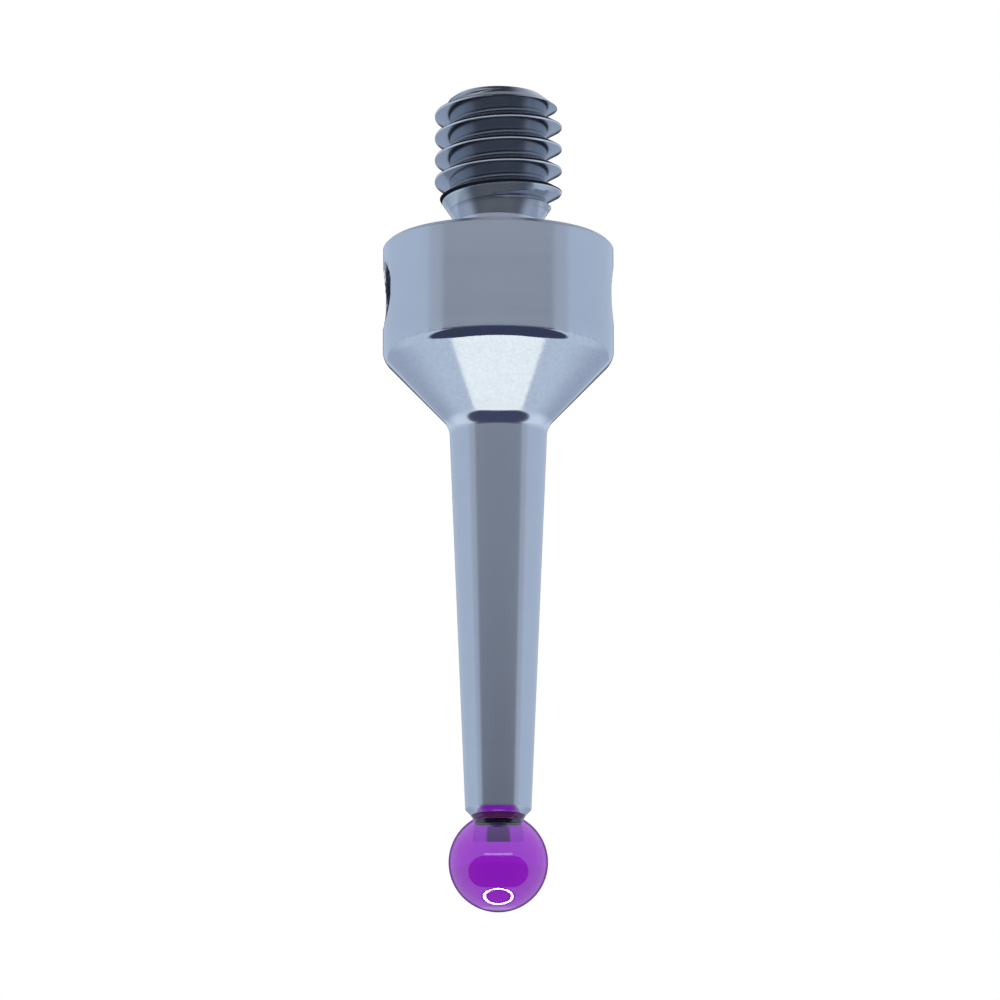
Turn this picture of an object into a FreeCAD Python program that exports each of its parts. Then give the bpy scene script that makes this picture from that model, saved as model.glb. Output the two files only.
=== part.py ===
import FreeCAD, Part
import Sketcher
import math
import os

# Ball-tipped stylus for a coordinate measuring machine, in millimetres.
# The origin is on the axis in the seat face of the hub, the threaded stud points up (+Z)
# and the ball is below. Every size here is set by itself, and the rest follows from them.

doc = FreeCAD.newDocument("stylus")

drivingSizes = (
    ("stud_length", 4.75, "seat face to the end of the stud"),
    ("stud_tip_diameter", 2.7, "flat end of the stud, inside its lead-in chamfer"),
    ("stud_tip_angle", 52, "slope of that chamfer from the axis, in degrees"),
    ("thread_major", 3.95, "over the crests of the M4 thread"),
    ("thread_pitch", 0.7, "coarse pitch of M4"),
    ("flank_angle", 30, "slope of each flank from square to the axis, in degrees"),
    ("crest_flat", 0.02, "width left on the crest"),
    ("root_flat", 0.16, "width at the bottom of the groove"),
    ("thread_start", 0.297, "relief cone to the groove on the +X side, where its run-out begins"),
    ("runout_turns", 0.34, "part of a turn over which the groove rises out of the bar"),
    ("runout_lift", 0.13, "how far the groove rises over the run-out"),
    ("relief_diameter", 2.6, "neck between thread and hub"),
    ("relief_length", 0.72, "seat face to the cone that opens the neck to the thread"),
    ("relief_angle", 34, "slope of that cone from the axis, in degrees"),
    ("undercut_margin", 0.13, "from the crests of the thread out to the seat face"),
    ("undercut_depth", 0.1, "how far the foot of the neck is cut into the seat face"),
    ("neck_round", 0.15, "radius at the foot of the neck"),
    ("hub_diameter", 7.1, "outside of the hub"),
    ("hub_length", 3.58, "straight part of the hub, from seat face to cone"),
    ("seat_edge", 0.12, "chamfer round the seat face"),
    ("shoulder_edge", 0.5, "radius between hub and cone"),
    ("cone_angle", 43.7, "slope of the cone under the hub from the axis, in degrees"),
    ("foot_radius", 0.65, "radius between cone and stem"),
    ("stem_foot_diameter", 3.0, "stem where it leaves the cone"),
    ("stem_tip_diameter", 2.0, "stem where its end chamfer starts"),
    ("cup_rim_diameter", 1.5, "small end of that chamfer"),
    ("cup_land", 0.05, "flat left round the cup"),
    ("cross_hole_diameter", 2.0, "hole for the tommy bar"),
    ("cross_hole_drop", 1.65, "seat face to the centre of that hole"),
    ("cross_hole_edge", 0.05, "chamfer at both mouths of that hole"),
    ("reach", 19.2, "seat face to the centre of the ball"),
    ("ball_diameter", 3.0, "ground ball"),
    ("peg_diameter", 0.8, "peg on the stem that enters the ball"),
    ("peg_stop", 0.4, "centre of the ball to the end of the peg"),
    ("film", 0.03, "adhesive between ball and steel, round the peg and in the cup"),
    ("bead", 0.06, "how far the adhesive spreads past the rim of the cup"),
)

sheet = doc.addObject("Spreadsheet::Sheet", "sizes")
for row, (alias, size, note) in enumerate(drivingSizes, start=1):
    sheet.set(f"A{row}", alias)
    sheet.set(f"B{row}", str(size))
    sheet.set(f"C{row}", note)
    sheet.setAlias(f"B{row}", alias)
doc.recompute()

# Expressions that several outlines share. Those of the ball, cup and peg are taken
# from the centre of the ball, and the rest from the seat face.
hubRadius = "sizes.hub_diameter / 2"
majorRadius = "sizes.thread_major / 2"
reliefRadius = "sizes.relief_diameter / 2"
halfRoot = "sizes.root_flat / 2"
halfMouth = "(sizes.thread_pitch - sizes.crest_flat) / 2"
rootRadius = f"({majorRadius} - ({halfMouth} - {halfRoot}) / tan(sizes.flank_angle))"
coneToRoot = f"({rootRadius} - {reliefRadius}) / tan(sizes.relief_angle)"
threadFoot = f"(sizes.relief_length + {coneToRoot} + sizes.thread_start)"
undercutRadius = f"({majorRadius} + sizes.undercut_margin)"
crossHoleRadius = "sizes.cross_hole_diameter / 2"
stemFootRadius = "sizes.stem_foot_diameter / 2"
stemTipRadius = "sizes.stem_tip_diameter / 2"
rimRadius = "sizes.cup_rim_diameter / 2"
ballRadius = "sizes.ball_diameter / 2"
pegRadius = "sizes.peg_diameter / 2"
boreRadius = f"({pegRadius} + sizes.film)"
boreFloor = "(sizes.peg_stop - sizes.film)"
cupRadius = f"({ballRadius} + sizes.film)"
mouthRadius = f"({rimRadius} - sizes.cup_land)"
rimHeight = f"sqrt({cupRadius} ^ 2 - {mouthRadius} ^ 2)"
stemTop = f"(0 - sizes.hub_length - ({hubRadius} - {stemFootRadius}) / tan(sizes.cone_angle))"
rimLevel = f"({rimHeight} - sizes.reach)"

# How near an edge lies to where it is looked for, and the turns by which the thread's
# groove runs on past the end of the stud.
planeTolerance = 1e-4
overrunTurns = 0.6


def number(expression):
    """The present value of an expression on the sheet."""
    return float(sheet.evalExpression(expression.replace("sizes.", "")))


def newBody(name):
    """A sub-part, whose name is also its file's."""
    body = doc.addObject("PartDesign::Body", name)
    body.Label = name
    return body


def newSketch(body, name, role):
    """An empty sketch on one of the body's own origin planes."""
    plane = next(feature for feature in body.Origin.OriginFeatures if feature.Role == role)
    sketch = body.newObject("Sketcher::SketchObject", name)
    sketch.AttachmentSupport = [(plane, "")]
    sketch.MapMode = "FlatFace"
    return sketch


def bind(sketch, name, expression, *constraint):
    """Adds a sized constraint, names it and ties it to the sheet."""
    index = sketch.addConstraint(Sketcher.Constraint(*constraint, number(expression)))
    sketch.renameConstraint(index, name)
    sketch.setExpression(f"Constraints.{name}", expression)


def arcBetween(start, end, centre, radius):
    """The short arc from start to end, and which of its two ends is start."""
    first = math.atan2(start[1] - centre[1], start[0] - centre[0])
    last = math.atan2(end[1] - centre[1], end[0] - centre[0])
    turn = (last - first + math.pi) % (2 * math.pi) - math.pi
    circle = Part.Circle(FreeCAD.Vector(*centre, 0), FreeCAD.Vector(0, 0, 1), radius)
    if turn > 0:
        return Part.ArcOfCircle(circle, first, first + turn), 1
    return Part.ArcOfCircle(circle, last, last - turn), 2


def drawOutline(sketch, corners, arcs=None):
    """A closed outline through corners, each a pair of expressions: across and up.

    arcs gives, by a corner's number, the radius and centre of the arc that leaves it.
    The other sides are straight.
    """
    arcs = arcs or {}
    places = [(number(across), number(up)) for across, up in corners]
    sides = []
    for i, place in enumerate(places):
        nextPlace = places[(i + 1) % len(places)]
        if i in arcs:
            radius, centre = arcs[i]
            middle = (number(centre[0]), number(centre[1]))
            side, startEnd = arcBetween(place, nextPlace, middle, number(radius))
        else:
            side = Part.LineSegment(FreeCAD.Vector(*place, 0), FreeCAD.Vector(*nextPlace, 0))
            startEnd = 1
        sides.append((sketch.addGeometry(side, False), startEnd))
    for i, (side, startEnd) in enumerate(sides):
        following, followingStart = sides[(i + 1) % len(sides)]
        sketch.addConstraint(
            Sketcher.Constraint("Coincident", side, 3 - startEnd, following, followingStart)
        )
    for i, (side, startEnd) in enumerate(sides):
        across, up = corners[i]
        if across == "0":
            sketch.addConstraint(Sketcher.Constraint("PointOnObject", side, startEnd, -2))
        else:
            bind(sketch, f"across{i}", across, "DistanceX", -1, 1, side, startEnd)
        if up == "0":
            sketch.addConstraint(Sketcher.Constraint("PointOnObject", side, startEnd, -1))
        else:
            bind(sketch, f"up{i}", up, "DistanceY", -1, 1, side, startEnd)
        if i in arcs:
            bind(sketch, f"radius{i}", arcs[i][0], "Radius", side)


def turned(body, kind, name, sketch):
    """A Revolution or a Groove of the sketch, all the way round the body's axis."""
    feature = body.newObject(f"PartDesign::{kind}", name)
    feature.Profile = sketch
    feature.ReferenceAxis = (sketch, ["V_Axis"])
    feature.Angle = 360
    doc.recompute()
    return feature


def ringEdges(feature, radius, level):
    """Names of the round edges of that radius at that height on the axis."""
    names = []
    for i, edge in enumerate(feature.Shape.Edges, start=1):
        if not isinstance(edge.Curve, Part.Circle):
            continue
        centre = edge.Curve.Center
        onAxis = math.hypot(centre.x, centre.y) < planeTolerance
        if onAxis and abs(centre.z - level) < planeTolerance:
            if abs(edge.Curve.Radius - radius) < planeTolerance:
                names.append(f"Edge{i}")
    return names


def mouthEdges(feature):
    """Names of the edges where the cross hole comes out of the hub."""
    names = []
    for i, edge in enumerate(feature.Shape.Edges, start=1):
        point = edge.valueAt((edge.FirstParameter + edge.LastParameter) / 2)
        fromAxis = math.hypot(point.x, point.y)
        fromHole = math.hypot(point.y, point.z + number("sizes.cross_hole_drop"))
        onHub = abs(fromAxis - number(hubRadius)) < planeTolerance
        if onHub and abs(fromHole - number(crossHoleRadius)) < planeTolerance:
            names.append(f"Edge{i}")
    return names


def edged(body, kind, name, base, edges, size):
    """A Fillet or a Chamfer on named edges of the base."""
    feature = body.newObject(f"PartDesign::{kind}", name)
    feature.Base = (base, edges)
    feature.setExpression("Radius" if kind == "Fillet" else "Size", size)
    doc.recompute()
    return feature


def drawGroove(sketch):
    """Section of the thread's groove at the +X side: two flanks and a flat root.

    Its mouth stands clear of the crests by half their flat, less than where two turns meet.
    """
    outer = f"({majorRadius} + sizes.crest_flat / 2)"
    halfOuter = f"({halfMouth} + sizes.crest_flat / 2 * tan(sizes.flank_angle))"
    drawOutline(sketch, [
        (outer, f"{threadFoot} + {halfOuter}"),
        (rootRadius, f"{threadFoot} + {halfRoot}"),
        (rootRadius, f"{threadFoot} - {halfRoot}"),
        (outer, f"{threadFoot} - {halfOuter}"),
    ])


def helicalCut(body, name, sketch, turns):
    """A right-handed groove of that many turns that starts at the sketch."""
    feature = body.newObject("PartDesign::SubtractiveHelix", name)
    feature.Profile = sketch
    feature.ReferenceAxis = (sketch, ["V_Axis"])
    feature.Mode = "pitch-turns-angle"
    feature.setExpression("Pitch", "sizes.thread_pitch")
    feature.setExpression("Turns", turns)
    feature.LeftHanded = False
    return feature


def buildStylusBody():
    """Stud, hub, cone, stem, cup and peg, turned from one bar."""
    body = newBody("stylus_body")

    barProfile = newSketch(body, "bar_profile", "XZ_Plane")
    studTip = "sizes.stud_tip_diameter / 2"
    tipShoulder = f"sizes.stud_length - ({majorRadius} - {studTip}) / tan(sizes.stud_tip_angle)"
    reliefTop = f"sizes.relief_length + ({majorRadius} - {reliefRadius}) / tan(sizes.relief_angle)"
    drawOutline(barProfile, [
        ("0", "sizes.stud_length"),
        (studTip, "sizes.stud_length"),
        (majorRadius, tipShoulder),
        (majorRadius, reliefTop),
        (reliefRadius, "sizes.relief_length"),
        (reliefRadius, "0 - sizes.undercut_depth"),
        (undercutRadius, "0"),
        (hubRadius, "0"),
        (hubRadius, "0 - sizes.hub_length"),
        (stemFootRadius, stemTop),
        (stemTipRadius, f"{rimLevel} + {stemTipRadius} - {rimRadius}"),
        (rimRadius, rimLevel),
        (mouthRadius, rimLevel),
        (pegRadius, rimLevel),
        (pegRadius, "sizes.peg_stop - sizes.reach"),
        ("0", "sizes.peg_stop - sizes.reach"),
    ])
    bar = turned(body, "Revolution", "turned_bar", barProfile)

    cupProfile = newSketch(body, "cup_profile", "XZ_Plane")
    cupRoof = f"(sqrt({cupRadius} ^ 2 - ({pegRadius}) ^ 2) - sizes.reach)"
    drawOutline(cupProfile, [
        (mouthRadius, rimLevel),
        (pegRadius, rimLevel),
        (pegRadius, cupRoof),
    ], {2: (cupRadius, ("0", "0 - sizes.reach"))})
    cup = turned(body, "Groove", "ball_cup", cupProfile)

    neck = edged(
        body, "Fillet", "neck_foot", cup,
        ringEdges(cup, number(reliefRadius), -number("sizes.undercut_depth")), "sizes.neck_round",
    )
    seat = edged(
        body, "Chamfer", "seat_chamfer", neck,
        ringEdges(neck, number(hubRadius), 0), "sizes.seat_edge",
    )
    shoulder = edged(
        body, "Fillet", "shoulder_round", seat,
        ringEdges(seat, number(hubRadius), -number("sizes.hub_length")), "sizes.shoulder_edge",
    )
    foot = edged(
        body, "Fillet", "foot_round", shoulder,
        ringEdges(shoulder, number(stemFootRadius), number(stemTop)), "sizes.foot_radius",
    )

    holeCircle = newSketch(body, "cross_hole_circle", "YZ_Plane")
    centre = FreeCAD.Vector(0, number("0 - sizes.cross_hole_drop"), 0)
    circle = Part.Circle(centre, FreeCAD.Vector(0, 0, 1), number(crossHoleRadius))
    outline = holeCircle.addGeometry(circle, False)
    holeCircle.addConstraint(Sketcher.Constraint("PointOnObject", outline, 3, -2))
    bind(holeCircle, "drop", "0 - sizes.cross_hole_drop", "DistanceY", -1, 1, outline, 3)
    bind(holeCircle, "radius", crossHoleRadius, "Radius", outline)
    hole = body.newObject("PartDesign::Pocket", "cross_hole")
    hole.Profile = holeCircle
    hole.Type = "ThroughAll"
    hole.Midplane = True
    doc.recompute()
    mouths = edged(body, "Chamfer", "cross_hole_mouths", hole, mouthEdges(hole), "sizes.cross_hole_edge")

    groove = newSketch(body, "thread_groove", "XZ_Plane")
    drawGroove(groove)
    thread = helicalCut(
        body, "thread", groove,
        f"(sizes.stud_length - {threadFoot}) / sizes.thread_pitch + {overrunTurns}",
    )
    doc.recompute()
    runout = helicalCut(body, "thread_runout", groove, "sizes.runout_turns")
    runout.Reversed = True
    runout.setExpression("Angle", "atan(sizes.runout_lift / (sizes.runout_turns * sizes.thread_pitch))")
    doc.recompute()
    for earlier, later in ((bar, cup), (hole, mouths), (mouths, thread), (thread, runout)):
        print(later.Name, "takes away", round(earlier.Shape.Volume - later.Shape.Volume, 4))
    return body


def buildRubyBall():
    """A sphere with a blind bore for the peg, drawn about its own centre."""
    body = newBody("ruby_ball")
    body.setExpression(".Placement.Base.z", "0 - sizes.reach")
    halfDisc = newSketch(body, "ball_profile", "XZ_Plane")
    centre = ("0", "0")
    drawOutline(halfDisc, [
        ("0", f"0 - {ballRadius}"),
        (ballRadius, "0"),
        ("0", ballRadius),
    ], {0: (ballRadius, centre), 1: (ballRadius, centre)})
    turned(body, "Revolution", "ground_ball", halfDisc)

    boreProfile = newSketch(body, "bore_profile", "XZ_Plane")
    drawOutline(boreProfile, [
        ("0", boreFloor),
        (boreRadius, boreFloor),
        (boreRadius, ballRadius),
        ("0", ballRadius),
    ])
    turned(body, "Groove", "peg_bore", boreProfile)
    return body


def buildAdhesiveFilm():
    """What fills the clearance round the peg and in the cup, with its bead at the neck."""
    body = newBody("adhesive_film")
    body.setExpression(".Placement.Base.z", "0 - sizes.reach")
    section = newSketch(body, "film_section", "XZ_Plane")
    centre = ("0", "0")
    beadFoot = f"({rimRadius} + sizes.bead)"
    drawOutline(section, [
        ("0", boreFloor),
        (boreRadius, boreFloor),
        (boreRadius, f"sqrt(({ballRadius}) ^ 2 - {boreRadius} ^ 2)"),
        (beadFoot, f"sqrt(({ballRadius}) ^ 2 - {beadFoot} ^ 2)"),
        (rimRadius, rimHeight),
        (mouthRadius, rimHeight),
        (pegRadius, f"sqrt({cupRadius} ^ 2 - ({pegRadius}) ^ 2)"),
        (pegRadius, "sizes.peg_stop"),
        ("0", "sizes.peg_stop"),
    ], {2: (ballRadius, centre), 5: (cupRadius, centre)})
    turned(body, "Revolution", "cured_film", section)
    return body


bodies = (buildStylusBody(), buildRubyBall(), buildAdhesiveFilm())
doc.recompute()

for item in doc.Objects:
    if "Invalid" in item.State or "Error" in item.State:
        raise SystemExit(f"{item.Name} didn't build: {item.State}")
for body in bodies:
    if body.Shape.isNull() or not body.Shape.isValid() or len(body.Shape.Solids) != 1:
        raise SystemExit(f"{body.Label} isn't one sound solid")

os.makedirs("parts", exist_ok=True)
for body in bodies:
    body.Shape.exportStep(f"parts/{body.Label}.step")
    box = body.Shape.BoundBox
    print(f"{body.Label}: {body.Shape.Volume:.3f} mm3, z {box.ZMin:.3f} to {box.ZMax:.3f}")
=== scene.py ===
import math

import bmesh
import bpy
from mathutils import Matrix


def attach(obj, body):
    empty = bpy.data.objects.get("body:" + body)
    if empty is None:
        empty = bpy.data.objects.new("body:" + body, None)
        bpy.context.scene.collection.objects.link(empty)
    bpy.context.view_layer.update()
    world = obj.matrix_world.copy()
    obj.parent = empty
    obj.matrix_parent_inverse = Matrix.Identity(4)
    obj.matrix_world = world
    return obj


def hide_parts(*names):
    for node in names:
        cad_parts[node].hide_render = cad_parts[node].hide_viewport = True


# Touch-probe stylus: turned steel body with a threaded stud, a violet ruby ball
# and the adhesive that holds it. The pieces are modelled in millimetres, then
# brought to metres. The seat face of the hub is at height 0 and +Z is up the stud.

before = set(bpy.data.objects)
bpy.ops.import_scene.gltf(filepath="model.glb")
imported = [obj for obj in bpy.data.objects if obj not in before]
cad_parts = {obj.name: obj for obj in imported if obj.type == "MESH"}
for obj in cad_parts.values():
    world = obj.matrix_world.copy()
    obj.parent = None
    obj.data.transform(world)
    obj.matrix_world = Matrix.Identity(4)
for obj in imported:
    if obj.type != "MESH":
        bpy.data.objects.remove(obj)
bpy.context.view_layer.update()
mm = 0.001
perRadian = 180 / math.pi                   # degrees in a radian
seamWithin = 0.0004                         # points this close on a turned piece are one, in millimetres


class Wire:
    # a node's output, with the usual operators for shader maths
    def __init__(self, sheet, socket):
        self.sheet = sheet
        self.socket = socket

    def maths(self, operation, *others):
        inputs = {0: self}
        inputs.update({i + 1: other for i, other in enumerate(others)})
        return self.sheet.node("ShaderNodeMath", {"operation": operation}, inputs)

    def __add__(self, other):
        return self.maths("ADD", other)

    def __radd__(self, other):
        return self.maths("ADD", other)

    def __sub__(self, other):
        return self.maths("SUBTRACT", other)

    def __rsub__(self, other):
        return self.sheet.node("ShaderNodeMath", {"operation": "SUBTRACT"}, {0: other, 1: self})

    def __mul__(self, other):
        return self.maths("MULTIPLY", other)

    def __rmul__(self, other):
        return self.maths("MULTIPLY", other)

    def __truediv__(self, other):
        return self.maths("DIVIDE", other)

    def __abs__(self):
        return self.maths("ABSOLUTE")

    def output(self, name):
        return Wire(self.sheet, self.socket.node.outputs[name])

    # 0 below the first value, 1 above the second, smooth between them
    def fade(self, start, end):
        settings = {"interpolation_type": "SMOOTHSTEP"}
        inputs = {"Value": self, "From Min": start, "From Max": end}
        return self.sheet.node("ShaderNodeMapRange", settings, inputs)

    # 1 between the two values, 0 outside them
    def within(self, start, end, soft):
        return self.fade(start - soft, start + soft) * (1 - self.fade(end - soft, end + soft))


class Sheet:
    # a node tree that nodes are added to
    def __init__(self, owner):
        owner.use_nodes = True
        self.tree = owner.node_tree
        self.tree.nodes.clear()

    # any node: its kind, its settings, then what goes into its sockets
    def node(self, kind, settings=None, inputs=None, output=0):
        made = self.tree.nodes.new(kind)
        for name, value in (settings or {}).items():
            if name == "stops":
                self.setStops(made.color_ramp, value)
            else:
                setattr(made, name, value)
        for name, value in (inputs or {}).items():
            if isinstance(value, Wire):
                self.tree.links.new(value.socket, made.inputs[name])
            else:
                made.inputs[name].default_value = value
        return Wire(self, made.outputs[output]) if len(made.outputs) else made

    def setStops(self, ramp, stops):
        while len(ramp.elements) < len(stops):
            ramp.elements.new(0.5)
        for element, (place, colour) in zip(ramp.elements, stops):
            element.position = place
            element.color = (*colour, 1)

    def mix(self, factor, first, second, blend="MIX"):
        settings = {"data_type": "RGBA", "blend_type": blend}
        values = [v if isinstance(v, Wire) else (*v, 1) for v in (first, second)]
        return self.node("ShaderNodeMix", settings, {0: factor, 6: values[0], 7: values[1]}, 2)

    def multiply(self, first, second):
        return self.mix(1.0, first, second, "MULTIPLY")

    def noise(self, vector, scale, detail, roughness):
        return self.node("ShaderNodeTexNoise", inputs={
            "Vector": vector, "Scale": scale, "Detail": detail, "Roughness": roughness})

    def vector(self, operation, first, second=None, output=0):
        inputs = {0: first} if second is None else {0: first, 1: second}
        return self.node("ShaderNodeVectorMath", {"operation": operation}, inputs, output)

    def parts(self, vector):
        split = self.node("ShaderNodeSeparateXYZ", inputs={"Vector": vector})
        return split.output("X"), split.output("Y"), split.output("Z")


def length(first, second):
    return (first * first + second * second).maths("SQRT")


# modelling helpers


def deselectAll():
    for item in list(bpy.context.selected_objects):
        item.select_set(False)


def makeActive(item):
    deselectAll()
    item.select_set(True)
    bpy.context.view_layer.objects.active = item


# a drawn line of (radius, height) corners in the XZ plane. A corner that is to be
# rounded also holds the radius of its round and the number of pieces in it
def drawProfile(name, corners, closed=False):
    deselectAll()
    bpy.ops.mesh.primitive_plane_add(size=0.01, location=(0, 0, 0))
    profile = bpy.context.object
    profile.name = name
    bpy.ops.object.mode_set(mode="EDIT")
    bpy.ops.mesh.select_mode(type="VERT")
    bpy.ops.mesh.select_all(action="SELECT")
    bpy.ops.mesh.merge(type="CENTER")
    before = (0, 0)
    for step, (radius, height, *_) in enumerate(corners):
        move = {"value": (radius - before[0], 0, height - before[1])}
        if step == 0:
            bpy.ops.transform.translate(**move)
        else:
            bpy.ops.mesh.extrude_region_move(TRANSFORM_OT_translate=move)
        before = (radius, height)
    if closed:
        bpy.ops.mesh.select_all(action="SELECT")
        bpy.ops.mesh.edge_face_add()
    for place, (radius, height, *rounding) in enumerate(corners):
        if not rounding:
            continue
        size, pieces = rounding
        last = corners[place - 1]
        following = corners[(place + 1) % len(corners)]
        turn = cornerTurn(last, (radius, height), following)
        selectNear(profile, radius, height)
        bpy.ops.mesh.bevel(
            affect="VERTICES", offset_type="OFFSET", offset=size * math.tan(turn / 2),
            segments=pieces, profile=0.5, clamp_overlap=False,
        )
    bpy.ops.object.mode_set(mode="OBJECT")
    return profile


def cornerTurn(last, corner, following):
    first = math.atan2(corner[1] - last[1], corner[0] - last[0])
    second = math.atan2(following[1] - corner[1], following[0] - corner[0])
    return abs((second - first + math.pi) % (2 * math.pi) - math.pi)


def selectNear(item, radius, height):
    bpy.ops.mesh.select_all(action="DESELECT")
    mesh = bmesh.from_edit_mesh(item.data)
    nearest = min(mesh.verts, key=lambda v: (v.co.x - radius) ** 2 + (v.co.z - height) ** 2)
    nearest.select_set(True)
    mesh.select_flush_mode()
    bmesh.update_edit_mesh(item.data)


def mergeWithin(distance):
    bpy.ops.mesh.select_all(action="SELECT")
    bpy.ops.mesh.remove_doubles(threshold=distance)
    bpy.ops.mesh.select_all(action="SELECT")


# turns a profile round the Z axis into a closed solid
def spinSolid(item, steps):
    makeActive(item)
    bpy.ops.object.mode_set(mode="EDIT")
    bpy.ops.mesh.select_all(action="SELECT")
    bpy.ops.mesh.spin(steps=steps, angle=2 * math.pi, center=(0, 0, 0), axis=(0, 0, 1))
    mergeWithin(seamWithin)
    bpy.ops.mesh.normals_make_consistent(inside=False)
    bpy.ops.object.mode_set(mode="OBJECT")


def cutAway(item, tool):
    makeActive(item)
    cut = item.modifiers.new("cut", "BOOLEAN")
    cut.operation = "DIFFERENCE"
    cut.solver = "EXACT"
    cut.object = tool
    bpy.ops.object.modifier_apply(modifier=cut.name)
    bpy.data.objects.remove(tool)


def smoothWithin(item, degrees):
    makeActive(item)
    bpy.ops.object.shade_smooth_by_angle(angle=math.radians(degrees))


# from millimetres to metres, with the place in the mesh
def finishPiece(item, material, node):
    makeActive(item)
    bpy.ops.transform.resize(value=(mm, mm, mm), center_override=(0, 0, 0))
    bpy.ops.object.transform_apply(location=True, rotation=True, scale=True)
    item.data.materials.clear()
    item.data.materials.append(material)
    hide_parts(node)
    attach(item, "root")


# corners along an arc about a centre on the axis, from one radius off the axis to another
def arcPoints(size, centre, startRadius, endRadius, steps):
    first, last = math.asin(startRadius / size), math.asin(endRadius / size)
    angles = [first + (last - first) * step / steps for step in range(steps + 1)]
    return [(size * math.sin(a), centre + size * math.cos(a)) for a in angles]


# further corners on the straight line between two corners, the last one included
def rows(first, last, count):
    return [(first[0] + (last[0] - first[0]) * k / count, first[1] + (last[1] - first[1]) * k / count)
            for k in range(1, count + 1)]


# camera: the photograph looks up at the hub a little
camera = {
    "place": (-0.014468, -0.165368, -0.0446714),
    "tilt": 102.45,
    "turn": -5,
    "lens": 200.35,
    "sensor": 36,
    "shift": 0.0017,
    "near": 0.001, "far": 20,
}


def placeCamera():
    deselectAll()
    bpy.ops.object.camera_add(
        location=camera["place"],
        rotation=(math.radians(camera["tilt"]), 0, math.radians(camera["turn"])),
    )
    made = bpy.context.object
    made.name = "photoCamera"
    made.data.lens = camera["lens"]
    made.data.sensor_width = camera["sensor"]
    made.data.shift_x = camera["shift"]
    made.data.clip_start = camera["near"]
    made.data.clip_end = camera["far"]
    bpy.context.scene.camera = made


# studio: the zones of the surround that the steel mirrors. Up is the elevation in degrees, and
# 0 across is towards the camera. Front and side are heights with their colours. A pair says where
# a change starts and ends, and a band is its two edges and their softness.
studio = {
    "cameraSide": 95,                       # turns the zones to face the camera
    "front": [
        (0, (0.11, 0.125, 0.165)), (4, (0.12, 0.135, 0.175)), (5.2, (0.285, 0.31, 0.38)),
        (7, (0.33, 0.36, 0.425)), (8.5, (0.33, 0.365, 0.425)), (13.3, (0.318, 0.349, 0.41)),
        (15, (0.366, 0.41, 0.481)), (19, (0.366, 0.41, 0.481)),
        (21, (1.1, 1.15, 1.2)), (26, (1.1, 1.15, 1.2)), (29, (0.26, 0.28, 0.32)),
        (32, (0.15, 0.165, 0.20)), (46, (0.15, 0.165, 0.20)), (49, (0.29, 0.285, 0.28)),
        (58, (0.29, 0.285, 0.28)), (61, (0.040, 0.048, 0.065)), (68, (0.040, 0.048, 0.065)),
        (73, (0.40, 0.44, 0.51)), (90, (0.30, 0.33, 0.38)),
    ],
    "side": [
        (0, (0.561, 0.653, 0.797)), (29, (0.561, 0.653, 0.797)), (31, (0.78, 0.82, 0.92)),
        (40, (0.78, 0.82, 0.92)), (47, (0.34, 0.37, 0.42)), (52, (0.045, 0.053, 0.07)),
        (68, (0.045, 0.053, 0.07)), (73, (0.40, 0.44, 0.51)), (90, (0.30, 0.33, 0.38)),
    ],
    # between front and side a narrow step with a tint of its own
    "stepTint": (0.86, 0.82, 0.80), "stepStart": (55, 59), "stepEnd": (71, 75),
    # higher up, the dark part towards the camera is wider and fades out sideways
    "upperUp": (21, 30), "upperTint": (0.20, 0.225, 0.27), "tintAcross": (54, 88), "tintEnd": (46, 50),
    "edgeTurn": (29, 31), "lowerEdge": (82, 112), "upperEdge": (60, 90),
    "back": (0.05, 0.06, 0.085), "backAcross": (164, 171), "backTop": (17, 20),
    "besideBack": (0.42, 0.47, 0.56), "besideBandAcross": (128, 166, 3), "besideBandUp": (20, 64, 3),
    # below the horizon a dark oval towards the camera, and under it a bright floor
    "lowSide": (0.655, 0.75, 0.885), "lowBack": (0.43, 0.50, 0.64), "lowAcross": (105, 150),
    "oval": (0.056, 0.066, 0.122), "ovalCentre": -34, "ovalAcross": 80, "ovalUp": 37,
    "ovalEdge": (0.93, 1.07),
    "horizon": (-6, -2),
    "underneath": (1.24, 1.28, 1.27), "underneathTop": (-61, -59),
    # what shows through the ball: the backdrop behind it, and the steel's surround, softened
    "backdropLow": (1.04, 1.04, 1.04), "backdropHigh": (0.93, 0.93, 0.93), "backdropTurn": (7.5, 9.5),
    "softener": (0.50, 0.44, 0.56), "softenerShare": 0.15, "backdropAcross": (60, 80),
}

# what the ball's polished face mirrors: a dark patch, a strip and a ring lamp. They are laid out
# by their place on the face of the ball seen from the front, across and up, its radius 1
ballMirror = {
    "lean": 9,                              # how far below level the ball is looked at from, in degrees
    "low": (0.66, 0.68, 0.72), "high": (0.80, 0.82, 0.87), "rise": (0.2, 0.7),
    "foot": (1.3, 1.3, 1.35), "footTop": (-0.93, -0.86),
    "edge": (0.07, 0.07, 0.16), "edgeRadius": (0.93, 0.985),
    "patchHalf": 0.29, "patchHeight": -0.18, "patchRadius": (0.305, 0.32),
    "strip": (3.0, 3.0, 3.0), "stripBand": (0.155, 0.187, 0.008), "stripEnd": (0.25, 0.31),
    "ring": (14, 14, 14), "ringHalfAcross": 0.307, "ringHalfUp": 0.167, "ringHeight": -0.675,
    "ringBand": (0.82, 1.0, 0.012), "ringShadow": (1.09, 1.12),
    "heart": (0.16, 0.13, 0.17), "heartRadius": (0.62, 0.68),
    "black": (0, 0, 0),
}


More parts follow.
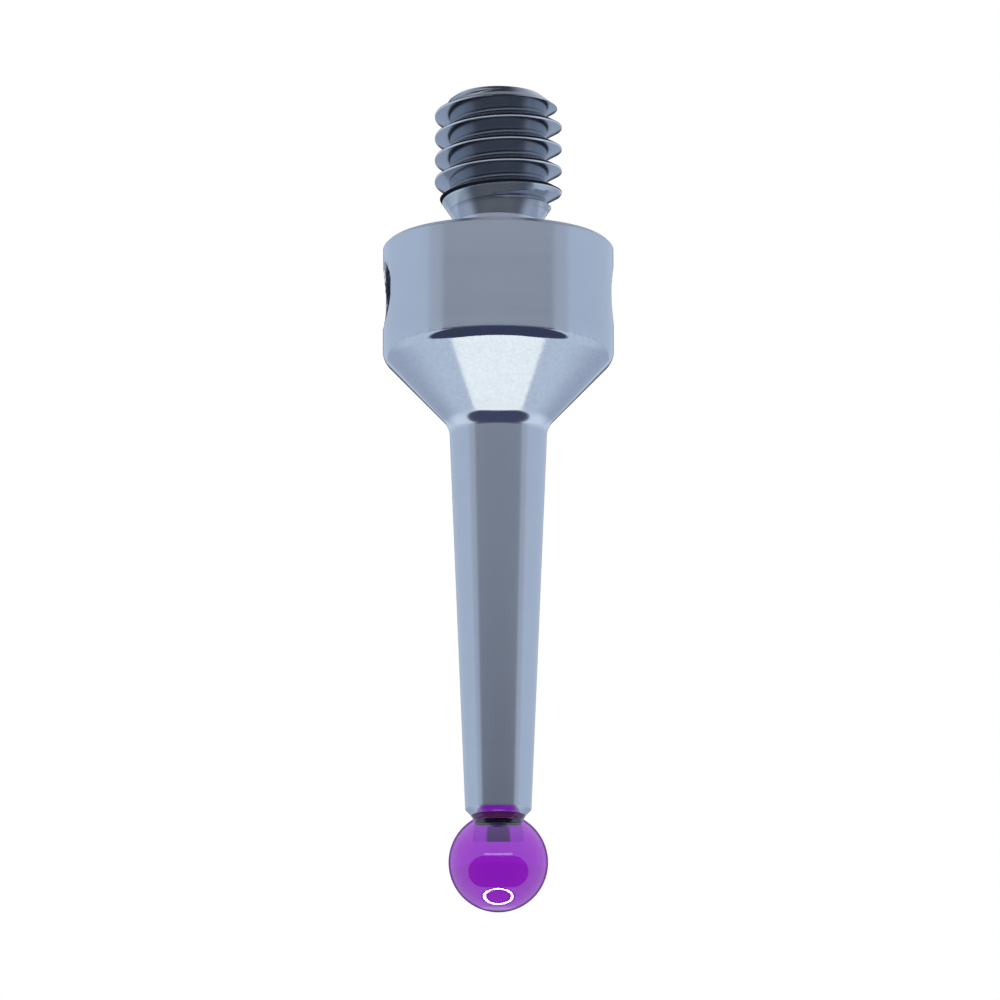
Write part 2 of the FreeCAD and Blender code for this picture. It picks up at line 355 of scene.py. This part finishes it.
def steelSurround(sheet, across, up):
    s = studio
    ramps = []
    for name in ("front", "side"):
        stops = [(height / 90, colour) for height, colour in s[name]]
        ramps.append(sheet.node("ShaderNodeValToRGB", {"stops": stops}, {"Fac": up / 90}))
    front, side = ramps
    walls = sheet.mix(across.fade(*s["stepStart"]), front, sheet.multiply(side, s["stepTint"]))
    walls = sheet.mix(across.fade(*s["stepEnd"]), walls, side)
    tinted = sheet.mix(up.fade(*s["tintEnd"]), s["upperTint"], front)
    upper = sheet.mix(across.fade(*s["tintAcross"]), front, tinted)
    edge = sheet.node("ShaderNodeMix", inputs={
        0: up.fade(*s["edgeTurn"]), 2: across.fade(*s["lowerEdge"]), 3: across.fade(*s["upperEdge"])})
    walls = sheet.mix(up.fade(*s["upperUp"]), walls, sheet.mix(edge, upper, side))
    walls = sheet.mix(across.fade(*s["backAcross"]) * (1 - up.fade(*s["backTop"])), walls, s["back"])
    beside = across.within(*s["besideBandAcross"]) * up.within(*s["besideBandUp"])
    walls = sheet.mix(beside, walls, s["besideBack"])
    low = sheet.mix(across.fade(*s["lowAcross"]), s["lowSide"], s["lowBack"])
    ovalAcross = (across / s["ovalAcross"]).maths("POWER", 2)
    ovalUp = (abs(up - s["ovalCentre"]) / s["ovalUp"]).maths("POWER", 2)
    low = sheet.mix(1 - (ovalAcross + ovalUp).fade(*s["ovalEdge"]), low, s["oval"])
    room = sheet.mix(up.fade(*s["horizon"]), low, walls)
    return sheet.mix(1 - up.fade(*s["underneathTop"]), room, s["underneath"])


def ballSurround(sheet, direction):
    m = ballMirror
    lean = math.radians(m["lean"])
    towards, upwards = (math.cos(lean), 0, -math.sin(lean)), (math.sin(lean), 0, math.cos(lean))
    facing = sheet.vector("NORMALIZE", sheet.vector("ADD", direction, towards))
    across = abs(sheet.parts(facing)[1])
    up = sheet.vector("DOT_PRODUCT", facing, upwards, "Value")
    fromPatch = length((across - m["patchHalf"]).maths("MAXIMUM", 0), up - m["patchHeight"])
    fromRing = length(across / m["ringHalfAcross"], (up - m["ringHeight"]) / m["ringHalfUp"])
    room = sheet.mix(up.fade(*m["rise"]), m["low"], m["high"])
    room = sheet.mix(1 - up.fade(*m["footTop"]), room, m["foot"])
    room = sheet.mix(length(across, up).fade(*m["edgeRadius"]), room, m["edge"])
    room = sheet.mix(1 - fromPatch.fade(*m["patchRadius"]), room, m["black"])
    strip = up.within(*m["stripBand"]) * (1 - across.fade(*m["stripEnd"]))
    room = sheet.mix(strip, room, m["strip"])
    room = sheet.mix(1 - fromRing.fade(*m["ringShadow"]), room, m["black"])
    room = sheet.mix(fromRing.within(*m["ringBand"]), room, m["ring"])
    return sheet.mix(1 - fromRing.fade(*m["heartRadius"]), room, m["heart"])


def lightSurround():
    world = bpy.data.worlds.new("studioSurround")
    bpy.context.scene.world = world
    sheet = Sheet(world)
    direction = sheet.node("ShaderNodeTexCoord", output="Generated")
    turned = sheet.node(
        "ShaderNodeMapping", {"vector_type": "POINT"},
        {"Vector": direction, "Rotation": (0, 0, math.radians(studio["cameraSide"]))},
    )
    x, y, z = sheet.parts(turned)
    across = abs(y.maths("ARCTAN2", x)) * perRadian
    up = z.maths("ARCSINE") * perRadian

    steelRoom = steelSurround(sheet, across, up)
    backdrop = sheet.mix(up.fade(*studio["backdropTurn"]), studio["backdropLow"], studio["backdropHigh"])
    softened = sheet.mix(studio["softenerShare"], steelRoom, studio["softener"])
    through = sheet.mix(across.fade(*studio["backdropAcross"]), softened, backdrop)

    # the camera and the floor see plain white, the ball's polished face and the steel their own zones
    paths = sheet.node("ShaderNodeLightPath")
    mirrored = sheet.mix(paths.output("Is Singular Ray"), steelRoom, ballSurround(sheet, turned))
    room = sheet.mix(paths.output("Is Transmission Ray"), mirrored, through)
    plain = paths.output("Is Camera Ray").maths("MAXIMUM", paths.output("Is Diffuse Ray"))
    seen = sheet.mix(plain, room, (1, 1, 1))
    glow = sheet.node("ShaderNodeBackground", inputs={"Color": seen, "Strength": 1.0})
    sheet.node("ShaderNodeOutputWorld", inputs={"Surface": glow})


# floor and lamp: the floor lies well below the ball, and neither shows in the steel or the ball
stage = {
    "floorRadius": 1.5, "floorAround": 96, "floorHeight": -0.08,
    "floorColour": (0.93, 0.93, 0.93), "floorRoughness": 0.9, "floorShine": 0.1,
    "lampHeight": 0.9, "lampSize": 1.6, "lampPower": 9,
}


def placeFloor():
    deselectAll()
    bpy.ops.mesh.primitive_circle_add(
        vertices=stage["floorAround"], radius=stage["floorRadius"], fill_type="NGON",
        location=(0, 0, stage["floorHeight"]),
    )
    floor = bpy.context.object
    floor.name = "paleFloor"
    paint = bpy.data.materials.new("paleFloorPaint")
    sheet = Sheet(paint)
    surface = sheet.node("ShaderNodeBsdfPrincipled", inputs={
        "Base Color": (*stage["floorColour"], 1), "Roughness": stage["floorRoughness"],
        "Specular IOR Level": stage["floorShine"]})
    sheet.node("ShaderNodeOutputMaterial", inputs={"Surface": surface})
    floor.data.materials.append(paint)
    floor.visible_glossy = False
    floor.visible_transmission = False


def placeLamp():
    bpy.ops.object.light_add(type="AREA", location=(0, 0, stage["lampHeight"]))
    lamp = bpy.context.object
    lamp.name = "softOverhead"
    lamp.data.shape = "DISK"
    lamp.data.size = stage["lampSize"]
    lamp.data.energy = stage["lampPower"]
    lamp.visible_glossy = False
    lamp.visible_transmission = False


def lightStudio():
    bpy.context.scene.view_settings.view_transform = "Standard"
    lightSurround()
    placeFloor()
    placeLamp()
    print("studio lit")


# steel body: all sizes in millimetres, radius then height. A round is its radius and its pieces.
body = {
    "majorRadius": 1.968, "pitch": 0.7, "rootRadius": 1.495, "threadFoot": 1.3501,
    "halfRoot": 0.0446, "rootRound": (0.04, 3), "crestFlat": 0.036,
    "crestRound": 0.025, "crestTurn": 60, "crestPieces": 4, "grooveOut": 0.03,
    "turns": 6, "stepsPerTurn": 160,
    "runoutTurns": 0.34, "runoutLift": 0.13, "runoutSteps": 40, "cutterSeam": 0.0001,
    "studEnd": 4.75, "studTipRadius": 1.35, "studTipAngle": 52, "tipRound": (0.05, 3), "studRows": 8,
    "reliefRadius": 1.3, "reliefLength": 0.72, "reliefAngle": 34, "reliefRows": 16,
    "undercutRadius": 2.105, "undercutDepth": 0.1, "neckRound": (0.15, 6),
    "hubRadius": 3.55, "hubLength": 3.58, "seatEdge": 0.12, "edgeRound": (0.03, 2),
    "hubSideEnd": -2.9, "hubRows": 14, "shoulderRound": (0.5, 14),
    "coneFootRadius": 1.5, "coneFoot": -5.72516, "footRound": (0.65, 14),
    "stemTipRadius": 1.0, "stemTip": -17.5895, "rimRadius": 0.75, "rim": -17.8395,
    "rimRound": (0.015, 2),
    "mouthRadius": 0.70, "cupRadius": 1.53, "cupSteps": 6, "pegRadius": 0.4, "pegEnd": -18.8,
    "holeRadius": 1.0, "holeDrop": 1.65, "holeLength": 9, "holeAround": 96,
    "holeEdge": 0.05, "holeEdgePieces": 2, "mouthWithin": 0.004, "hubWithin": 0.01,
    "around": 256, "smoothAngle": 32, "largeFaceWeight": 60,
}


def turnBar():
    b = body
    slope = (b["majorRadius"] - b["studTipRadius"]) / math.tan(math.radians(b["studTipAngle"]))
    opening = (b["majorRadius"] - b["reliefRadius"]) / math.tan(math.radians(b["reliefAngle"]))
    threadTop = (b["majorRadius"], b["studEnd"] - slope)
    threadEnd = (b["majorRadius"], b["reliefLength"] + opening)
    hubSide = (b["hubRadius"], -b["seatEdge"])
    cup = arcPoints(b["cupRadius"], ball["centre"], b["mouthRadius"], b["pegRadius"], b["cupSteps"])
    corners = [
        (0, b["studEnd"]),
        (b["studTipRadius"], b["studEnd"], *b["tipRound"]),
        threadTop,
        *rows(threadTop, threadEnd, b["studRows"]),
        *rows(threadEnd, (b["reliefRadius"], b["reliefLength"]), b["reliefRows"]),
        (b["reliefRadius"], -b["undercutDepth"], *b["neckRound"]),
        (b["undercutRadius"], 0),
        (b["hubRadius"] - b["seatEdge"], 0, *b["edgeRound"]),
        (*hubSide, *b["edgeRound"]),
        *rows(hubSide, (b["hubRadius"], b["hubSideEnd"]), b["hubRows"]),
        (b["hubRadius"], -b["hubLength"], *b["shoulderRound"]),
        (b["coneFootRadius"], b["coneFoot"], *b["footRound"]),
        (b["stemTipRadius"], b["stemTip"], *b["edgeRound"]),
        (b["rimRadius"], b["rim"], *b["rimRound"]),
        (b["mouthRadius"], b["rim"]),
        *cup[1:],                           # its first corner is the mouth
        (b["pegRadius"], b["pegEnd"]),
        (0, b["pegEnd"]),
    ]
    bar = drawProfile("stylusSteel", corners)
    spinSolid(bar, b["around"])
    print("bar turned", len(bar.data.vertices))
    return bar


# the groove's section at +X, from its upper crest to its lower crest
def grooveSection():
    b = body
    foot = b["threadFoot"]
    crest = []                              # the round of the crest, from its top to the flank
    for piece in range(b["crestPieces"] + 1):
        angle = math.radians(b["crestTurn"] * piece / b["crestPieces"])
        crest.append((b["majorRadius"] + b["crestRound"] * (math.cos(angle) - 1),
                      (b["pitch"] - b["crestFlat"]) / 2 - b["crestRound"] * math.sin(angle)))
    outer = (b["majorRadius"] + b["grooveOut"], crest[0][1])
    return [
        (outer[0], foot + outer[1]),
        *[(radius, foot + half) for radius, half in crest],
        (b["rootRadius"], foot + b["halfRoot"], *b["rootRound"]),
        (b["rootRadius"], foot - b["halfRoot"], *b["rootRound"]),
        *[(radius, foot - half) for radius, half in reversed(crest)],
        (outer[0], foot - outer[1]),
    ]


# groove of the thread: its section screwed up the stud, and its run-out below
def threadCutter():
    b = body
    cutter = drawProfile("threadCutter", grooveSection(), closed=True)
    makeActive(cutter)
    bpy.ops.object.mode_set(mode="EDIT")
    bpy.ops.mesh.select_all(action="SELECT")
    bpy.ops.mesh.delete(type="ONLY_FACE")
    bpy.ops.object.mode_set(mode="OBJECT")
    screw = cutter.modifiers.new("screw", "SCREW")
    screw.axis = "Z"
    screw.angle = 2 * math.pi
    screw.screw_offset = b["pitch"]
    screw.iterations = b["turns"]
    screw.steps = b["stepsPerTurn"]
    screw.render_steps = b["stepsPerTurn"]
    screw.use_merge_vertices = False
    bpy.ops.object.modifier_apply(modifier=screw.name)
    bpy.ops.object.mode_set(mode="EDIT")
    mergeWithin(b["cutterSeam"])
    bpy.ops.mesh.fill_holes(sides=0)
    # the run-out grows from the lower end face: down, outwards and round the axis. The two end
    # faces are the ones with more than four corners
    mesh = bmesh.from_edit_mesh(cutter.data)
    bpy.ops.mesh.select_all(action="DESELECT")
    startFace = min((f for f in mesh.faces if len(f.verts) > 4),
                    key=lambda f: abs(f.calc_center_median().z - b["threadFoot"]))
    startFace.select_set(True)
    bmesh.update_edit_mesh(cutter.data)
    steps = b["runoutSteps"]
    turn = 2 * math.pi * b["runoutTurns"] / steps
    for step in range(steps):
        angle = -turn * (step + 0.5)
        out = b["runoutLift"] / steps
        move = (out * math.cos(angle), out * math.sin(angle), -b["pitch"] * b["runoutTurns"] / steps)
        bpy.ops.mesh.extrude_region_move(TRANSFORM_OT_translate={"value": move})
        bpy.ops.transform.rotate(value=turn, orient_axis="Z", center_override=(0, 0, 0))
    bpy.ops.mesh.select_all(action="SELECT")
    bpy.ops.mesh.normals_make_consistent(inside=False)
    bpy.ops.object.mode_set(mode="OBJECT")
    print("thread cutter made", len(cutter.data.vertices))
    return cutter


def holeCutter():
    deselectAll()
    bpy.ops.mesh.primitive_cylinder_add(
        vertices=body["holeAround"], radius=body["holeRadius"], depth=body["holeLength"],
        location=(0, 0, -body["holeDrop"]), rotation=(0, math.pi / 2, 0),
    )
    tool = bpy.context.object
    bpy.ops.object.transform_apply(location=True, rotation=True, scale=True)
    return tool


def breakHoleEdges(item):
    b = body
    makeActive(item)
    bpy.ops.object.mode_set(mode="EDIT")
    bpy.ops.mesh.select_mode(type="EDGE")
    bpy.ops.mesh.select_all(action="DESELECT")
    mesh = bmesh.from_edit_mesh(item.data)

    def onMouth(vert):
        fromHole = math.hypot(vert.co.y, vert.co.z + b["holeDrop"])
        fromAxis = math.hypot(vert.co.x, vert.co.y)
        nearHole = abs(fromHole - b["holeRadius"]) < b["mouthWithin"]
        return nearHole and fromAxis > b["hubRadius"] - b["hubWithin"]

    for edge in mesh.edges:
        if all(onMouth(vert) for vert in edge.verts):
            edge.select_set(True)
    bmesh.update_edit_mesh(item.data)
    bpy.ops.mesh.bevel(affect="EDGES", offset_type="OFFSET", offset=b["holeEdge"],
                       segments=b["holeEdgePieces"])
    bpy.ops.object.mode_set(mode="OBJECT")


# large faces lead the shading, so that the cuts leave no dents in it
def evenNormals(item):
    makeActive(item)
    weighted = item.modifiers.new("weighted", "WEIGHTED_NORMAL")
    weighted.weight = body["largeFaceWeight"]
    weighted.keep_sharp = True
    bpy.ops.object.modifier_apply(modifier=weighted.name)


def makeSteelBody():
    bar = turnBar()
    cutAway(bar, threadCutter())
    cutAway(bar, holeCutter())
    breakHoleEdges(bar)
    smoothWithin(bar, body["smoothAngle"])
    evenNormals(bar)
    finishPiece(bar, turnedSteel(), "stylus_body")
    print("steel body finished", len(bar.data.polygons))


# steel: a noise is its scale, detail and roughness. Pairs and bands are as for the studio, here heights
# or radii in metres. On the thread they are parts of the pitch, 0 in the groove and half on the crest.
steel = {
    "colour": (0.60, 0.64, 0.70),
    "tone": 0.94, "wideTone": 0.06, "cloudTone": 0.06,
    "roughness": 0.17, "roughnessVaries": 0.06, "coneRoughness": 0.05,
    "mottle": 0.30,                         # how strongly the cone is mottled
    "turningNoise": (22000.0, 3.0, 0.6), "wideNoise": (1800.0, 2.0, 0.5),
    "grainNoise": (24000.0, 2.0, 0.6), "cloudNoise": (900.0, 3.0, 0.55),
    "mottleNoise": (8000.0, 2.0, 0.7),
    "turningDepth": 0.5, "studTurningLess": 0.4, "studFoot": (0.0, 0.0002), "grainDepth": 2.0,
    "bumpStrength": 0.35, "bumpDistance": 0.0000012,
    "coneBand": (-0.00545, -0.00335, 0.00012), "coneRadius": (0.0015, 0.0017),
    # lighter steel in a band at the foot of the cone
    "footLighter": (0.96, 0.97, 1.0), "footBand": (-0.00592, -0.00560, 0.00012), "footShare": 0.6,
    "threadBand": (0.00115, 0.0044, 0.0002), "threadRadius": (0.00148, 0.00149),
    # painted shade on the flank below the groove and in it, and a darker painted shade at that flank's
    # outer edge
    "grooveShade": (0.37, 0.40, 0.46), "grooveShadeBand": (-0.46, 0.078, 0.015),
    # the same painted shade on the end chamfer of the stud
    "studTip": (0.00424, 0.00430), "tipShare": 0.85,
    "darkFlankShade": (0.008, 0.010, 0.018), "darkFlankBand": (-0.485, -0.30, 0.015),
    # painted shade on the lower flank
    "lowerFlankShade": (0.50, 0.54, 0.60), "flankBand": (0.085, 0.46, 0.012),
    # painted shade in the root of the groove, dimming its highlight
    "rootShade": (0.19, 0.205, 0.24), "rootBand": (-0.085, 0.078, 0.008),
    # painted highlight along the crest
    "crest": (0.74, 0.77, 0.82), "crestBelow": (0.455, 0.475), "crestAbove": (-0.49, -0.48),
    "crestBand": (0.0010, 0.0046, 0.0001), "crestRadius": (0.00190, 0.00194),
}


def turnedSteel():
    s = steel
    material = bpy.data.materials.new("turnedSteel")
    sheet = Sheet(material)
    place = sheet.node("ShaderNodeTexCoord", output="Object")
    x, y, z = sheet.parts(place)
    radius = length(x, y)
    flat = sheet.node("ShaderNodeCombineXYZ", inputs={"X": radius, "Y": z, "Z": 0.0})
    turning = sheet.noise(flat, *s["turningNoise"])
    wide = sheet.noise(flat, *s["wideNoise"])
    grain = sheet.noise(place, *s["grainNoise"])
    cloud = sheet.noise(place, *s["cloudNoise"])
    mottle = sheet.noise(place, *s["mottleNoise"])
    onCone = z.within(*s["coneBand"]) * radius.fade(*s["coneRadius"])
    onFoot = z.within(*s["footBand"])

    turns = y.maths("ARCTAN2", x) / (2 * math.pi)
    phase = ((z / mm - body["threadFoot"]) / body["pitch"] - turns + 0.5).maths("FRACT") - 0.5
    onThread = z.within(*s["threadBand"]) * radius.fade(*s["threadRadius"])
    # painted shade in the groove and on the flank below it, and on the stud's end chamfer
    grooveShaded = phase.within(*s["grooveShadeBand"]) * onThread
    grooveShaded = grooveShaded.maths("MAXIMUM", z.fade(*s["studTip"]) * s["tipShare"])
    # a darker painted shade: a dark line at the outer edge of that flank
    darkFlankShaded = phase.within(*s["darkFlankBand"]) * onThread
    # painted shade on the lower flank
    onFlank = phase.within(*s["flankBand"]) * onThread
    # painted shade in the root of the groove
    atRoot = phase.within(*s["rootBand"]) * onThread
    # painted highlight along the crest
    crestHighlight = phase.fade(*s["crestBelow"]) + 1 - phase.fade(*s["crestAbove"])
    crestHighlight = crestHighlight * z.within(*s["crestBand"]) * radius.fade(*s["crestRadius"])

    tone = s["tone"] + wide * s["wideTone"] + cloud * s["cloudTone"] + onCone * (mottle - 0.5) * s["mottle"]
    shade = sheet.multiply(sheet.node("ShaderNodeCombineColor", inputs={
        "Red": tone, "Green": tone, "Blue": tone}), s["colour"])
    # lighter in a band at the foot of the cone
    shade = sheet.mix(onFoot * s["footShare"], shade, s["footLighter"])
    shade = sheet.mix(grooveShaded, shade, s["grooveShade"])
    shade = sheet.mix(darkFlankShaded, shade, s["darkFlankShade"])
    shade = sheet.mix(onFlank, shade, s["lowerFlankShade"])
    shade = sheet.mix(atRoot, shade, s["rootShade"])
    shade = sheet.mix(crestHighlight, shade, s["crest"])
    roughness = s["roughness"] + (wide - 0.5) * s["roughnessVaries"]
    roughness = roughness + onCone * (s["coneRoughness"] - roughness)
    turned = turning * (s["turningDepth"] - s["studTurningLess"] * z.fade(*s["studFoot"]))
    bump = sheet.node("ShaderNodeBump", inputs={
        "Strength": s["bumpStrength"], "Distance": s["bumpDistance"],
        "Height": turned + onCone * grain * s["grainDepth"]})
    # the darkest painted shade, at the flank's outer edge, is matt and no metal
    surface = sheet.node("ShaderNodeBsdfPrincipled", inputs={
        "Base Color": shade, "Metallic": 1 - darkFlankShaded, "Roughness": roughness,
        "Specular IOR Level": 0.0, "Normal": bump})
    sheet.node("ShaderNodeOutputMaterial", inputs={"Surface": surface})
    return material


# ruby ball, with the bore that the peg enters
ball = {
    "centre": -19.2, "radius": 1.5, "boreRadius": 0.43, "boreFloor": -18.83,
    "around": 192, "arcSteps": 120, "smoothAngle": 30,
}


def makeRubyBall():
    b = ball
    start = math.asin(b["boreRadius"] / b["radius"])
    corners = [(0, b["boreFloor"]), (b["boreRadius"], b["boreFloor"])]
    for step in range(b["arcSteps"] + 1):
        angle = start + (math.pi - start) * step / b["arcSteps"]
        corners.append((b["radius"] * math.sin(angle) if step < b["arcSteps"] else 0,
                        b["centre"] + b["radius"] * math.cos(angle)))
    made = drawProfile("rubyBall", corners)
    spinSolid(made, b["around"])
    smoothWithin(made, b["smoothAngle"])
    finishPiece(made, violetRuby(), "ruby_ball")
    print("ruby ball finished", len(made.data.polygons))


ruby = {
    "absorbed": (0.717, 0.02, 0.867),
    "density": 1449.0,
    "ior": 1.76,
    "tint": (0.96, 0.93, 1.0), "otherTint": (1.0, 0.97, 1.0), "cloudNoise": (1500.0, 2.0, 0.5),
}


def violetRuby():
    material = bpy.data.materials.new("violetRuby")
    sheet = Sheet(material)
    cloud = sheet.noise(sheet.node("ShaderNodeTexCoord", output="Object"), *ruby["cloudNoise"])
    surface = sheet.node("ShaderNodeBsdfPrincipled", inputs={
        "Base Color": sheet.mix(cloud, ruby["tint"], ruby["otherTint"]),
        "Roughness": 0.0, "IOR": ruby["ior"], "Transmission Weight": 1.0})
    volume = sheet.node("ShaderNodeVolumeAbsorption", inputs={
        "Color": (*ruby["absorbed"], 1), "Density": ruby["density"]})
    sheet.node("ShaderNodeOutputMaterial", inputs={"Surface": surface, "Volume": volume})
    return material


# adhesive: the film between ball and steel, its bead round the neck and its collar at the rim
film = {
    "ballRadius": 1.4975, "boreRadius": 0.4325, "boreFloor": -18.8325, "beadRadius": 0.86,
    "cupSteps": 8, "ballSteps": 14,
    "collarRadius": 0.785, "collarEdge": (0.008, -0.004),
    # the bead's outside from the rim down, as further out than the rim and higher than it
    "bead": [(0.072, 0.052), (0.034, 0.006), (0.020, -0.034), (0.028, -0.066)],
    "around": 160, "smoothAngle": 30,
}


def makeAdhesive():
    f, b = film, body
    centre = ball["centre"]
    corners = [(0, b["pegEnd"]), (b["pegRadius"], b["pegEnd"])]
    corners += arcPoints(b["cupRadius"], centre, b["pegRadius"], b["mouthRadius"], f["cupSteps"])
    # the bead wets the end chamfer of the stem, then falls to the ball
    collar = (f["collarRadius"], b["rim"] + f["collarRadius"] - b["rimRadius"])
    corners += [(b["rimRadius"], b["rim"]), collar]
    corners += [(collar[0] + f["collarEdge"][0], collar[1] + f["collarEdge"][1])]
    corners += [(b["rimRadius"] + out, b["rim"] + higher) for out, higher in f["bead"]]
    corners += arcPoints(f["ballRadius"], centre, f["beadRadius"], f["boreRadius"], f["ballSteps"])
    corners += [(f["boreRadius"], f["boreFloor"]), (0, f["boreFloor"])]
    made = drawProfile("adhesiveBead", corners)
    spinSolid(made, f["around"])
    smoothWithin(made, f["smoothAngle"])
    finishPiece(made, curedAdhesive(), "adhesive_film")
    print("adhesive finished", len(made.data.polygons))


# places are radii off the axis, or distances from the ball's centre, in metres
adhesive = {
    # the bead's dark violet is a painted reflection of the violet ball, its tone clouded
    "colour": (0.055, 0.006, 0.060), "lighter": (0.085, 0.012, 0.095), "cloudNoise": (5000.0, 3.0, 0.5),
    # violet over the peg and lavender at the cup: painted reflection of the ruby's light on the steel
    "pegPaintedReflection": (0.60, 0.19, 0.76), "boreEdge": (0.000434, 0.000440),
    "cupPaintedReflection": (0.90, 0.72, 0.98), "cupInside": (0.00058, 0.00062), "ballFace": (0.0014990, 0.0015005),
    "roughness": 0.12, "bumpStrength": 0.3, "bumpDistance": 0.000004,
}


def curedAdhesive():
    a = adhesive
    material = bpy.data.materials.new("curedAdhesive")
    sheet = Sheet(material)
    place = sheet.node("ShaderNodeTexCoord", output="Object")
    x, y, z = sheet.parts(place)
    cloud = sheet.noise(place, *a["cloudNoise"])
    bump = sheet.node("ShaderNodeBump", inputs={
        "Strength": a["bumpStrength"], "Distance": a["bumpDistance"], "Height": cloud})
    # in the bore and at the edge of the cup the film is clear, and shows the steel behind it; that steel's
    # violet and lavender are a painted reflection of the ruby's light
    radius = length(x, y)
    fromCentre = length(radius, z - ball["centre"] * mm)
    inBore = 1 - radius.fade(*a["boreEdge"])
    atEdge = radius.fade(*a["cupInside"]) * (1 - fromCentre.fade(*a["ballFace"]))
    # the bead's dark violet, a painted reflection of the violet ball, with a cloud of tone
    shade = sheet.mix(cloud, a["colour"], a["lighter"])
    shade = sheet.mix(atEdge, shade, a["cupPaintedReflection"])
    shade = sheet.mix(inBore, shade, a["pegPaintedReflection"])
    surface = sheet.node("ShaderNodeBsdfPrincipled", inputs={
        "Base Color": shade, "Metallic": inBore + atEdge, "Roughness": a["roughness"], "Normal": bump})
    sheet.node("ShaderNodeOutputMaterial", inputs={"Surface": surface})
    return material


placeCamera()
lightStudio()
makeSteelBody()
makeRubyBall()
makeAdhesive()
